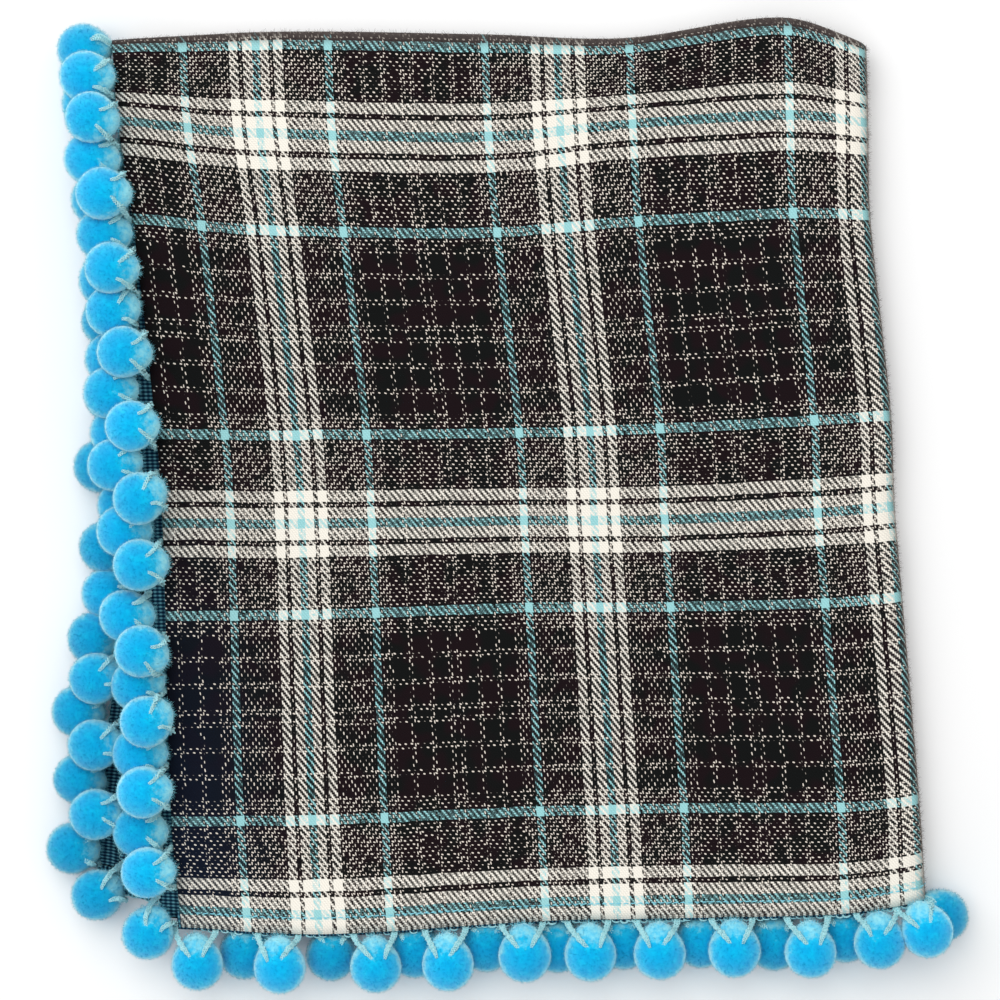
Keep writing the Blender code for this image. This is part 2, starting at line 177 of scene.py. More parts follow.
# Half of the sett, in threads from the middle of a pale band: first thread and kind of each stripe
HALF_SETT = 98
SETT_SCALE = 100.0
SETT = [
    (0, "turquoise"),
    (3, "cream"),
    (9, "dark"),
    (10, "lone"),
    (11, "dark"),
    (12, "cream"),
    (18, "in turn"),
    (45, "turquoise"),
    (50, "in turn"),
    (58, "dark"),
]
for lone_thread in (68, 70, 81, 83, 94, 96):
    SETT += [(lone_thread, "lone"), (lone_thread + 1, "dark")]
SETT_KINDS = {
    "turquoise": (1.0, 0.0, 0.0),
    "cream": (0.0, 1.0, 0.0),
    "in turn": (0.0, 0.0, 1.0),
    "lone": (0.0, 0.0, 0.5),
    "dark": (0.0, 0.0, 0.0),
}
YARN_LOW = 0.36
YARN_RANGE = 0.95
SLUB_LOW = 0.60
SLUB_RANGE = 0.80
STRIPE_COVER = (0.07, 0.53)
TURQUOISE_THIN = 0.10
PALE_BARE = 0.66
TURQUOISE_BARE = 0.30
OVER_WARP_BARE = 0.10
OVER_WEFT_BARE = 0.42
LONE_COVER = (0.36, 0.74)
FLOAT_SHADE = 0.20
FLOAT_SLANT = 0.18
FLOAT_END_POWER = 2.5
WAVER = 1.5 * MM
WAVER_SCALE = 90.0
WAVER_DETAIL = 4.0
SLUB_SCALE = 420.0
PATCH_SCALE = 62.0
PATCH_EDGES = (0.42, 0.58)
# A grey-brown band along the folds: partly wear, partly painted sheen of the fuzz seen aslant
WORN_SHEEN_REACH = 8.5 * MM
WORN_SHEEN_LOW = 0.30
WORN_SHEEN_RANGE = 1.2
DRAWN_DOWN = 3.0 * MM
DRAWN_REACH = 60 * MM
# Where the painted navy shade lies in the dark threads, across and along the sheet, in metres
NAVY_SHADE_ACROSS = (-0.318, -0.388)
NAVY_SHADE_ALONG = (-0.20, -0.44)

# Colours, linear
CREAM = (0.96, 0.91, 0.81)
ECRU = (0.80, 0.72, 0.63)
TURQUOISE = (0.35, 0.70, 0.72)
PLUM = (0.0085, 0.0030, 0.0048)
GREEN_BLACK = (0.0035, 0.0042, 0.0042)
PAINTED_NAVY_SHADE = (0.0025, 0.0070, 0.020)
WORN_AND_SHEEN = (0.075, 0.060, 0.056)
POMPOM_CORE = (0.0, 0.43, 0.81)
POMPOM_MIDDLE = (0.0, 0.54, 0.88)
POMPOM_PALE = (0.31, 0.79, 0.91)
CORD_SHADE = (0.12, 0.52, 0.62)
CORD_PALE = (0.70, 1.0, 1.0)
# Tape: painted shade in the ribs' troughs, painted light on their crests, all darkened for the shade under
# the hem
TAPE_TROUGH_SHADE = (0.004, 0.020, 0.045)
TAPE_SHADED_MIDDLE = (0.02, 0.10, 0.17)
TAPE_CREST_LIGHT = (0.20, 0.52, 0.60)
STITCH_BLUE = (0.22, 0.62, 0.75)
FLOOR_TONE = (0.95, 0.95, 0.95)

# Pompoms, as shares of their radius.  A tightness says how close to its direction something stays.
FLUFF_RADIUS = 14.0 * MM
FLUFF_HALF_HEIGHT = 11.8 * MM
LOWEST_CENTRE = 0.97
CORE_SHARE = 0.94
LUMPS = ((0.030, 2.5, 6), (0.018, 9.0, 16))
DISORDER = 0.6
TUFTS = 2300
TUFT_RADIUS = 0.15 * MM
TUFT_ROOT = 0.89
TUFT_LENGTHS = (0.955, 1.03)
TUFT_LEAN = 0.10
TUFT_TIPS = (0.6, 0.6, 0.6, 1.0)
CORE_BELOW = 0.3
TIE_BACK = 0.80
TIE_UP = 0.60
TIE_DIMPLE = 0.10
DIMPLE_TIGHTNESS = 14.0
HAZE_BLEND = 0.42
# Painted sheen: a pale girdle round each pompom's side, where its outline shows from above
SHEEN_GIRDLE = (0.84, 0.14)
GIRDLE_PAINTED_SHEEN = 0.85
TIE_PALE = 0.60
TIE_TIGHTNESS = 6.0
TIP_PALE = 0.10
NECK = {"left": 0.18, "right": 0.12, "bottom": 0.26}
NECK_TIGHTNESS = 7.0
NECK_HAIR = 0.11
HAIR_TIGHTNESS = 5.0
CLUMPS = 1.7
CLUMP_SCALE = 230.0
YARN_SCALE = 620.0
# Painted shade: pompoms of lower layers are darkened, as if lying in shade; each pompom also varies in tone
# at random
LAYER_PAINTED_SHADES = (1.0, 0.92, 0.86, 0.78)
TONE_SPREAD = (0.93, 1.03)
FLOOR_GAP = 0.05 * MM

# Cord loops.  A leg leaves the tape ahead, aside and upwards, passes over the ball's edge and ends on top.
LEG_HALF_SPAN = 10.5 * MM
LEG_LEAVE = (3.0 * MM, 0.5 * MM, 1.2 * MM)
OVER_BACK = 0.85
OVER_UP = 0.90
END_BACK = 0.34
END_UP = 0.80
LEG_END_SPAN = {"left": 3.8 * MM, "right": 3.6 * MM, "bottom": 3.0 * MM}
LEG_END_SHIFT = 2.4 * MM
LEG_SHIFT_WAVE = 17 * MM
LEG_MIDDLE_SPAN = {"left": 7.0 * MM, "right": 6.5 * MM, "bottom": 6.5 * MM}
LEG_CLEAR = 1.04
LEG_SUNK = 0.72
LEG_SINKS_FROM = 0.72
LEG_TAPER = 0.45
LEG_ROOT = 0.6 * MM
LEG_POINTS = 30
BRAID_PITCH = 3.7 * MM
BRAID_HALF_WIDTH = 1.45 * MM
BRAID_DEPTH = 0.65 * MM
STRAND_RADIUS = 0.48 * MM
STEEP = 0.05
CORD_SCALE = 900.0

# Tape: tucked in behind the left edge where it doesn't show, down to a place on the second layer
TUCKED = -0.6 * MM
TUCKED_TO = 150 * MM
HEM_TAPE = 1.3 * MM
LOWER_HEM_TAPE = 5.2 * MM
PICOT_PITCH = 3.4 * MM
PICOT_HALF_WIDTH = 0.62
PICOT_SHIFT = 0.12
PICOT_REACH = (0.6 * MM, 2.0 * MM)
PICOT_ROOT = 0.8 * MM
PICOT_RADIUS = (0.32 * MM, 0.60 * MM)
PICOT_SHARE = 0.72
PICOT_WEAVE = 0.25 * MM
PICOT_POINTS = 7
RIB_PITCH = 1.9 * MM
ROW_PITCH = 2.6 * MM
RIB_HEIGHT = 0.3
ROW_HEIGHT = 0.2

# Topstitching
STITCH_INSET = 8.0 * MM
STITCH_PITCH = 3.7 * MM
STITCH_LENGTH = 2.8 * MM
STITCH_RADIUS = 0.32 * MM
STITCH_LIFT = 0.12 * MM
STITCH_DIP = 0.25 * MM
STITCH_SWELL = (0.35, 0.9, 1.0, 0.9, 0.35)

# Fuzz of the brushed cloth along its folds
FUZZ_FIBRES = 5200
FUZZ_ROOT = 0.6 * MM
FUZZ_REACH = 2.4 * MM
FUZZ_LEAN = 1.1 * MM
FUZZ_SHORTER = 1.5
FUZZ_BAND = 2.6 * MM
FUZZ_RADIUS = (0.07 * MM, 0.02 * MM)
FUZZ_GREY = (0.16, 0.14, 0.13)

# Matt surfaces, and the random draws
SPECULAR = 0.15
FUZZ_SEED = 5
TRIM_SEED = 11

# Stage: a camera straight above, framed as the photograph
SENSOR = 36.0
CAMERA_HEIGHT = 1.6
VIEW_WIDTH = 0.51
VIEW_LEVEL = 0.018
VIEW_DOWN = 236.64 * MM
FLOOR_SIZE = 8.0
WORLD_STRENGTH = 0.72
KEY_PLACE = (-0.9, 1.0, 2.1)
KEY_POWER = 42.0
KEY_SIZE = 2.8


def smooth(value):
    """An S-shaped ramp from 0 to 1."""
    value = min(max(value, 0.0), 1.0)
    return value * value * (3 - 2 * value)


def unit(vectors):
    """Vectors, or one vector, brought to length 1."""
    return vectors / (np.linalg.norm(vectors, axis=-1, keepdims=True) + TINY)


def curve_through(stations, values, at):
    """The height at one place of a smooth curve through a value at each station."""
    last = len(stations) - 1
    slopes = []
    for i in range(last + 1):
        low = max(i - 1, 0)
        high = min(i + 1, last)
        slopes.append((values[high] - values[low]) / (stations[high] - stations[low]))
    if at <= stations[0]:
        return values[0] + slopes[0] * (at - stations[0])
    if at >= stations[last]:
        return values[last] + slopes[last] * (at - stations[last])
    i = max(k for k in range(last) if stations[k] <= at)
    span = stations[i + 1] - stations[i]
    t = (at - stations[i]) / span
    start = (1 + 2 * t) * (1 - t) ** 2 * values[i] + t * (1 - t) ** 2 * span * slopes[i]
    end = t * t * (3 - 2 * t) * values[i + 1] - t * t * (1 - t) * span * slopes[i + 1]
    return start + end


def section_at(column, from_fold):
    """A column of the sections table, read at a distance from the top fold; both in metres."""
    index = SECTION_COLUMNS.index(column)
    stations = [row[0] for row in SECTIONS]
    values = [row[index] for row in SECTIONS]
    return curve_through(stations, values, from_fold / MM) * MM


def down_at(across, from_fold):
    """How far a point of layer 1 lies below the top fold's middle, for its share of the width."""
    values = [section_at("down_%d" % i, from_fold) for i in range(len(ACROSS))]
    return curve_through(ACROSS, values, across)


def hem_short(u, v, across, from_fold):
    """How much higher than layer 1 a point of another layer lies, most of all at its hem."""
    upper, lower = (0, 3) if v < 0 else (1, 2)
    share = smooth(0.5 + u / (math.pi * FOLD_RADIUS))
    short, corner = (row[upper] + (row[lower] - row[upper]) * share for row in (HEM_SHORT, CORNER_SHORT))
    left_share = 1 - min(max(across, 0.0), 1.0)
    return (short + corner * left_share ** CORNER_POWER) * MM * (from_fold / HALF_LENGTH) ** 2


def layer_of(u, v):
    if u < 0:
        return 1 if v < 0 else 2
    return 3 if v > 0 else 4


def side_share(u):
    """1 at the side edges, where the layers stand apart, falling to 0 inside the cloth."""
    return smooth(1 - (HALF_WIDTH - abs(u)) / EDGE_REACH)


def hem_share(v):
    return smooth(1 - (HALF_LENGTH - abs(v)) / EDGE_REACH)


def ply_half_gap(u, v):
    return PLY_HALF_GAP + (PLY_HALF_GAP_EDGE - PLY_HALF_GAP) * max(side_share(u), hem_share(v))


def pair_gap(u, v, from_fold):
    """How far apart the two pairs of plies lie, away from the right fold."""
    at_side = side_share(u)
    at_hem = hem_share(v)
    wave = math.sin(u / WAVE_ACROSS + abs(v) / WAVE_LONG) * math.sin(abs(v) / WAVE_SHORT)
    gap = PAIR_GAP + RIPPLE * (1 + wave) * (1 - at_side) * (1 - at_hem)
    gap += (PAIR_GAP_HEM - gap) * at_hem
    return gap + (section_at("rise", from_fold) - gap) * at_side


def sheet_point(u, v, lift=0.0):
    """The folded place of a point of the flat sheet, lifted off the middle surface to its right side."""
    half_gap = ply_half_gap(u, v)

    # First fold: how far the point lies from the top, and from the middle of its pair of plies
    side = -1.0 if v < 0 else 1.0
    quarter = half_gap * math.pi / 2
    radius = half_gap + lift
    if abs(v) < quarter:
        turn = abs(v) / half_gap
        from_fold = half_gap - radius * math.cos(turn)
        offset = -side * radius * math.sin(turn)
    else:
        from_fold = half_gap + abs(v) - quarter
        offset = -side * radius

    # Second fold: the pair turns round a wide soft bend at the right
    layer = layer_of(u, v)
    bend = FOLD_RADIUS * math.pi / 2
    right = section_at("right", from_fold) - half_gap - CLOTH_THICK / 2
    left = section_at("left_%d" % layer, from_fold)
    pair_low = CLOTH_THICK / 2 + half_gap
    if abs(u) < bend:
        turn = u / FOLD_RADIUS
        x = right - FOLD_RADIUS * (1 - math.cos(turn)) + offset * math.cos(turn)
        z = pair_low + FOLD_RADIUS - (FOLD_RADIUS + offset) * math.sin(turn)
    else:
        inner = right - FOLD_RADIUS
        flat = abs(u) - bend
        x = inner - flat * (inner - left) / (HALF_WIDTH - bend)
        bulge = smooth(1 - flat / BULGE_REACH)
        gap = pair_gap(u, v, from_fold)
        gap += (2 * FOLD_RADIUS - gap) * bulge
        z = pair_low + gap + offset if u < 0 else pair_low - offset

    across = (x - left) / (right - left)
    down = down_at(across, from_fold) - hem_short(u, v, across, from_fold)
    return Vector((x - CENTRE_X, -down - CENTRE_Y, z))


def turn_place(u, share):
    """Distance along the sheet of a point of the top fold's turn, from -1 to 1 of the turn."""
    return share * ply_half_gap(u, 0.0) * math.pi / 2


def edge_place(side, place, beyond):
    """Flat coordinates of a point at a cut edge, and beyond it by a distance."""
    if side == "left":
        return -HALF_WIDTH - beyond, place
    if side == "right":
        return HALF_WIDTH + beyond, place
    return place, -HALF_LENGTH - beyond


def row_sign(side, layer):
    """Which way a row's places count along the sheet's edge from the fold."""
    if side == "bottom":
        return -1 if layer == 1 else 1
    return -1 if layer in (1, 4) else 1


def pompom_list():
    """Every pompom as a dictionary: where its loops start, and where it would like to hang."""
    pompoms = []
    for side, layer, out, swing, places in ROWS:
        for index, distance in enumerate(places):
            place = row_sign(side, layer) * distance * MM
            edge = sheet_point(*edge_place(side, place, 0.0), -TAPE_LIFT)
            root = sheet_point(*edge_place(side, place, TAPE_OUTSIDE), -TAPE_LIFT)
            straight = math.atan2(root[1] - edge[1], root[0] - edge[0])
            reach = out * MM + OUT_WOBBLE * math.sin(WOBBLE_STEP * index + layer)
            heading = straight + math.radians(swing)
            aim = (edge[0] + reach * math.cos(heading), edge[1] + reach * math.sin(heading))
            pompoms.append({"side": side, "layer": layer, "place": place, "root": tuple(root), "aim": aim})
    return pompoms


def layer_edges(x, y):
    """For each layer: how far a plan position lies left of it, right of it and below it, and its height."""
    down = -(y + CENTRE_Y)
    from_fold = min(max(down, 0.0), HALF_LENGTH)
    edges = []
    for layer in (1, 2, 3, 4):
        left = section_at("left_%d" % layer, from_fold)
        right = section_at("right", from_fold)
        across = (x + CENTRE_X - left) / (right - left)
        u = -0.5 * HALF_WIDTH if layer < 3 else 0.5 * HALF_WIDTH
        v = -HALF_LENGTH if layer in (1, 4) else HALF_LENGTH
        clamped = min(max(across, 0.0), 1.0)
        hem = down_at(clamped, HALF_LENGTH) - hem_short(u, v, clamped, HALF_LENGTH)
        tape = TAPE_OUTSIDE if layer in (1, 4) else 0.0
        height = EDGE_HEIGHTS[layer - 1]
        if layer < 3:
            height += section_at("rise", from_fold) if down < hem - EDGE_REACH / 2 else PAIR_GAP_HEM
        beyond_left = left - TAPE_OUTSIDE - (x + CENTRE_X)
        beyond_right = x + CENTRE_X - right
        edges.append((beyond_left, beyond_right, down - hem - tape, height))
    return edges


def push_apart(first, second, distance):
    """Moves two places apart until they are a distance from each other."""
    step = [second[i] - first[i] for i in range(3)]
    length = math.sqrt(sum(value * value for value in step))
    if length >= distance:
        return
    length = max(length, TINY)
    for i in range(3):
        shift = step[i] / length * (distance - length) / 2
        first[i] -= shift
        second[i] += shift


def settled_pompoms():
    """Lets the pompoms sink and lean on each other, the layers and the floor, in heights that are
    stretched so that each flattened pompom is a ball."""
    stretch = POMPOM_RADIUS / POMPOM_HALF_HEIGHT
    pompoms = pompom_list()
    for pompom in pompoms:
        lift = START_HEIGHTS[pompom["layer"] - 1]
        pompom["ball"] = [pompom["aim"][0], pompom["aim"][1], lift * stretch]
    clear = POMPOM_RADIUS + POMPOM_GAP
    for step in range(SETTLE_STEPS):
        easing = 1 - step / SETTLE_STEPS
        for pompom in pompoms:
            ball = pompom["ball"]
            for i in (0, 1):
                ball[i] += (pompom["aim"][i] - ball[i]) * AIM_PULL * easing
            ball[2] -= SINK * easing
            root = (pompom["root"][0], pompom["root"][1], pompom["root"][2] * stretch)
            away = [ball[i] - root[i] for i in range(3)]
            length = math.sqrt(sum(value * value for value in away))
            if length > LOOP_REACH:
                for i in range(3):
                    ball[i] = root[i] + away[i] * LOOP_REACH / length
        for i, one in enumerate(pompoms):
            for other in pompoms[i + 1:]:
                push_apart(one["ball"], other["ball"], 2 * clear - POMPOM_GAP)
        for pompom in pompoms:
            ball = pompom["ball"]
            for beyond_left, beyond_right, beyond_hem, height in layer_edges(ball[0], ball[1]):
                sideways = max(beyond_right, 0.0) - max(beyond_left, 0.0)
                beside = math.hypot(sideways, max(beyond_hem, 0.0))
                above = ball[2] - height * stretch
                rise = max(abs(above) - EDGE_HALF_THICK * stretch, 0.0)
                gap = math.hypot(beside, rise)
                if gap >= clear or beside >= clear:
                    continue
                if beside > 0:
                    share = (clear - gap) / max(gap, TINY)
                    ball[0] += sideways * share
                    ball[1] -= max(beyond_hem, 0.0) * share
                    ball[2] += math.copysign(rise * share, above)
                else:
                    ball[2] = height * stretch + EDGE_HALF_THICK * stretch + clear
            ball[2] = max(ball[2], POMPOM_RADIUS)
    for pompom in pompoms:
        ball = pompom["ball"]
        pompom["centre"] = (ball[0], ball[1], ball[2] / stretch)
    return pompoms


def steps_between(low, high, step):
    """Evenly spaced values from low up to, but without, high, about a step apart."""
    count = max(round((high - low) / step), 1)
    return [low + (high - low) * i / count for i in range(count)]


def across_stations(step):
    """Places across the sheet, closer together round the right fold."""
    bend = FOLD_RADIUS * math.pi / 2
    upper = steps_between(-HALF_WIDTH, -bend, step)
    return upper + steps_between(-bend, bend, FOLD_STEP) + [bend] + [-u for u in reversed(upper)]


def along_stations(step):
    """Places along the sheet as pairs (distance, share of the top fold's turn)."""
    upper = [(v, None) for v in steps_between(-HALF_LENGTH, -TOP_REACH, step)] + [(-TOP_REACH, None)]
    turn = [(None, -1 + 2 * i / TURN_STEPS) for i in range(TURN_STEPS + 1)]
    return upper + turn + [(-v, None) for v, _ in reversed(upper)]


def grid_object(name, places, lift, material, turned=False):
    """A smooth mesh on rows of the sheet's flat places, which are also its UV map, in metres.  A turned
    map has its two coordinates exchanged."""
    count = len(places[0])
    every = [place for row in places for place in row]
    faces = []
    for j in range(len(places) - 1):
        for i in range(count - 1):
            corner = j * count + i
            faces.append((corner, corner + 1, corner + count + 1, corner + count))
    points = [tuple(cloth_point(*place, lift)) for place in every]
    thing = mesh_object(name, points, faces, material)
    flat = np.array(every, dtype=np.float32)
    if turned:
        flat = flat[:, ::-1]
    layer = thing.data.uv_layers.new(name="flat")
    layer.data.foreach_set("uv", flat[np.array(faces).ravel()].ravel())
    return thing


def add_object(name, data, location=(0.0, 0.0, 0.0)):
    thing = bpy.data.objects.new(name, data)
    thing.location = location
    bpy.context.scene.collection.objects.link(thing)
    return thing


def mesh_object(name, points, faces, material):
    mesh = bpy.data.meshes.new(name)
    mesh.from_pydata(points, [], faces)
    mesh.materials.append(material)
    mesh.polygons.foreach_set("use_smooth", [True] * len(mesh.polygons))
    return add_object(name, mesh)


def thicken(thing, thick):
    shell = thing.modifiers.new("thickness", "SOLIDIFY")
    shell.thickness = thick
    shell.offset = 0.0
    shell.use_even_offset = True
    shell.use_quality_normals = True


def crease_height(x, down):
    """Soft ridges and troughs of the folded stack at a place, in metres."""
    height = 0.0
    for x0, down0, x1, down1, width, peak in CREASES:
        run_x = x1 - x0
        run_down = down1 - down0
        along = ((x - x0) * run_x + (down - down0) * run_down) / (run_x ** 2 + run_down ** 2)
        share = min(max(along, 0.0), 1.0)
        away = math.hypot(x - x0 - share * run_x, down - down0 - share * run_down)
        if away < 3 * width:
            fade = 1 - CREASE_FADE * (2 * share - 1) ** 2
            height += peak * fade * math.exp(-(away / width) ** 2)
    return height * MM


def edge_waves(inside, along, drift, drift_wave):
    """Waves along a cut edge, fading inwards."""
    fade = math.exp(-max(inside, 0.0) / PUCKER_REACH)
    return fade * math.sin(along / PUCKER_WAVE + drift * math.sin(along / drift_wave))


def pucker(u, v):
    """Small waves that the sewing draws up along the cut edges."""
    side = edge_waves(HALF_WIDTH - abs(u), v, *SIDE_DRIFT)
    hem = edge_waves(HALF_LENGTH - abs(v), u, *HEM_DRIFT)
    return PUCKER * (side + hem)


def cloth_point(u, v, lift=0.0):
    """A point of the sheet with its creases: the higher a layer lies, the more it shows them."""
    point = sheet_point(u, v, lift)
    x = (point[0] + CENTRE_X) / MM
    down = -(point[1] + CENTRE_Y) / MM
    share = min(point[2] / STACK_HEIGHT, 1.0)
    point[2] += share * (crease_height(x, down) + pucker(u, v))
    return point


def frames_along(path):
    """Unit vectors to the side of and above a path of points."""
    along = unit(np.gradient(path, axis=0))
    aside = np.cross(along, UP)
    aside[np.linalg.norm(aside, axis=1) < STEEP] = (1.0, 0.0, 0.0)
    aside = unit(aside)
    return aside, np.cross(aside, along)


class Tubes:
    """Gathers many thin round strands into one mesh."""

    def __init__(self, sides):
        self.sides = sides
        self.points = []
        self.faces = []
        self.count = 0

    def add(self, path, radius):
        sides = self.sides
        turns = np.arange(sides)[:, None] * 2 * math.pi / sides
        aside, above = frames_along(path)
        ring = aside[:, None] * np.cos(turns) + above[:, None] * np.sin(turns)
        radii = np.broadcast_to(radius, (len(path),))
        self.points.append((path[:, None] + ring * radii[:, None, None]).reshape(-1, 3))
        for i in range(len(path) - 1):
            low = self.count + i * sides
            for k in range(sides):
                after = (k + 1) % sides
                self.faces.append((low + k, low + after, low + sides + after, low + sides + k))
        last = self.count + (len(path) - 1) * sides
        self.faces.append(tuple(self.count + k for k in reversed(range(sides))))
        self.faces.append(tuple(last + k for k in range(sides)))
        self.count += len(path) * sides

    def build(self, name, material):
        return mesh_object(name, np.concatenate(self.points).tolist(), self.faces, material)


def bezier(p0, p1, p2, p3, count):
    t = np.linspace(0.0, 1.0, count)[:, None]
    return (1 - t) ** 3 * p0 + 3 * t * (1 - t) ** 2 * p1 + 3 * t * t * (1 - t) * p2 + t ** 3 * p3


def level_heading(root, centre):
    """The level direction in which a pompom hangs from its root."""
    heading = np.array(centre) - np.array(root)
    heading[2] = 0.0
    return unit(heading)


def sunk_share(run):
    """How far a leg has sunk into the fluff, from 0 to 1, at shares of its length."""
    return np.clip((run - LEG_SINKS_FROM) / (1 - LEG_SINKS_FROM), 0.0, 1.0)


def loop_paths(pompom):
    """The middle lines of the two legs of a pompom's cord loop."""
    side = pompom["side"]
    centre = np.array(pompom["centre"])
    root = cloth_point(*edge_place(side, pompom["place"], TAPE_OUTSIDE), -TAPE_LIFT)
    heading = level_heading(root, centre)
    across = np.array((-heading[1], heading[0], 0.0))
    starts = []
    for shift in (-LEG_HALF_SPAN, LEG_HALF_SPAN):
        place = pompom["place"] + shift
        if place * pompom["place"] < 0:
            place = 0.0
        starts.append(np.array(cloth_point(*edge_place(side, place, LEG_ROOT), -TAPE_LIFT)))
    if (starts[1] - starts[0]) @ across < 0:
        across = -across
    half_sizes = np.array((FLUFF_RADIUS, FLUFF_RADIUS, FLUFF_HALF_HEIGHT))
    end_shift = LEG_END_SHIFT * math.sin(pompom["place"] / LEG_SHIFT_WAVE)
    paths = []
    for start, way in zip(starts, (-1, 1)):
        leave = start + heading * LEG_LEAVE[0] + across * way * LEG_LEAVE[1] + UP * LEG_LEAVE[2]
        over = centre + (UP * OVER_UP - heading * OVER_BACK) * half_sizes
        over += across * way * LEG_MIDDLE_SPAN[side]
        end = centre + (UP * END_UP - heading * END_BACK) * half_sizes
        end += across * (way * LEG_END_SPAN[side] + end_shift)
        path = bezier(start, leave, over, end, LEG_POINTS)

        # Lying on the fluff, and sinking into it at its end
        least = LEG_CLEAR + (LEG_SUNK - LEG_CLEAR) * sunk_share(np.linspace(0.0, 1.0, LEG_POINTS))
        away = (path - centre) / half_sizes
        length = np.linalg.norm(away, axis=1)
        grow = np.maximum(least / np.maximum(length, TINY), 1.0)
        paths.append(centre + away * grow[:, None] * half_sizes)
    return paths


def add_braid(tubes, path):
    """Three strands plaited along a path, thinner where they go into the fluff."""
    aside, above = frames_along(path)
    steps = np.linalg.norm(np.diff(path, axis=0), axis=1)
    run = np.concatenate(([0.0], np.cumsum(steps)))
    size = 1 - (1 - LEG_TAPER) * sunk_share(run / run[-1])
    for strand in range(3):
        phase = 2 * math.pi * (run / BRAID_PITCH + strand / 3)
        sideways = aside * (BRAID_HALF_WIDTH * size * np.sin(phase))[:, None]
        upward = above * (BRAID_DEPTH * size * np.sin(2 * phase))[:, None]
        tubes.add(path + sideways + upward, STRAND_RADIUS * size)


def unit_sphere_points(count, rng):
    """Directions spread evenly over a sphere, with a little disorder."""
    index = np.arange(count) + 0.5
    height = 1 - 2 * index / count
    angle = math.pi * (1 + math.sqrt(5)) * index
    ring = np.sqrt(np.maximum(1 - height * height, 0.0))
    points = np.stack((ring * np.cos(angle), ring * np.sin(angle), height), axis=1)
    return unit(points + rng.normal(0.0, DISORDER / math.sqrt(count), points.shape))


def near(directions, axis, tightness):
    """1 in the direction of an axis, falling off around it."""
    return np.exp(tightness * (directions @ axis - 1))


def lumps(directions, rng):
    """Uneven clipping of a pompom: a few broad and a few small swellings, about 0."""
    total = np.zeros(len(directions))
    for strength, tightness, count in LUMPS:
        for axis in unit_sphere_points(count, rng):
            total += strength * rng.uniform(-1, 1) * near(directions, axis, tightness)
    return total


def paleness(directions, tie):
    """How pale each point is: a painted sheen round the girdle, where the outline shows from above, and the
    yarn's own paleness where the loop is tied; least on top and below.
    """
    share = np.clip((SHEEN_GIRDLE[0] - np.abs(directions[:, 2])) / (SHEEN_GIRDLE[0] - SHEEN_GIRDLE[1]), 0.0, 1.0)
    girdle = GIRDLE_PAINTED_SHEEN * share * share * (3 - 2 * share)
    return 1 - (1 - girdle) * (1 - TIE_PALE * near(directions, tie, TIE_TIGHTNESS))


def pompom_arrays(centre, heading, neck, core, rng):
    """Points, faces, tip shares and paleness of one pompom: a soft core with pointed tufts all over it."""
    squash = np.array((1.0, 1.0, FLUFF_HALF_HEIGHT / FLUFF_RADIUS))
    core_points, core_faces = core
    tie = unit(UP * TIE_UP - heading * TIE_BACK)
    seed = int(rng.integers(1 << 30))

    def reach(directions):
        shape = 1.0 + lumps(directions, np.random.default_rng(seed))
        shape += neck * near(directions, -heading, NECK_TIGHTNESS)
        return shape - TIE_DIMPLE * near(directions, tie, DIMPLE_TIGHTNESS)

    body = core_points * (reach(core_points) * CORE_SHARE * FLUFF_RADIUS)[:, None] * squash + centre
    directions = unit_sphere_points(TUFTS, rng)
    far = reach(directions) * FLUFF_RADIUS
    tips = unit(directions + rng.normal(0.0, TUFT_LEAN, directions.shape))
    neck_hair = NECK_HAIR * near(directions, -heading, HAIR_TIGHTNESS) * rng.random(TUFTS)
    tips *= (far * (rng.uniform(*TUFT_LENGTHS, TUFTS) + neck_hair))[:, None]
    roots = directions * (far * TUFT_ROOT)[:, None]
    first = unit(np.cross(directions, rng.normal(size=directions.shape)))
    second = np.cross(directions, first)
    corners = []
    for turn in (0.0, 2 * math.pi / 3, 4 * math.pi / 3):
        corners.append(roots + TUFT_RADIUS * (first * math.cos(turn) + second * math.sin(turn)))
    tufts = np.stack((*corners, tips), axis=1).reshape(-1, 3) * squash + centre
    lowest = len(body) + 4 * np.arange(TUFTS)[:, None]
    sides = [lowest + side for side in ((0, 1, 3), (1, 2, 3), (2, 0, 3), (0, 2, 1))]
    tip_share = np.concatenate((np.zeros(len(body)), np.tile(TUFT_TIPS, TUFTS)))
    pale = np.concatenate((paleness(core_points, tie), np.repeat(paleness(directions, tie), 4)))
    return np.concatenate((body, tufts)), np.concatenate((core_faces, *sides)), tip_share, pale


def icosphere(subdivisions):
    """Points and triangles of a unit sphere."""
    bpy.ops.mesh.primitive_ico_sphere_add(subdivisions=subdivisions, radius=1.0)
    thing = bpy.context.object
    points = np.array([tuple(vertex.co) for vertex in thing.data.vertices])
    faces = np.array([tuple(face.vertices) for face in thing.data.polygons])
    bpy.data.objects.remove(thing, do_unlink=True)
    return unit(points), faces


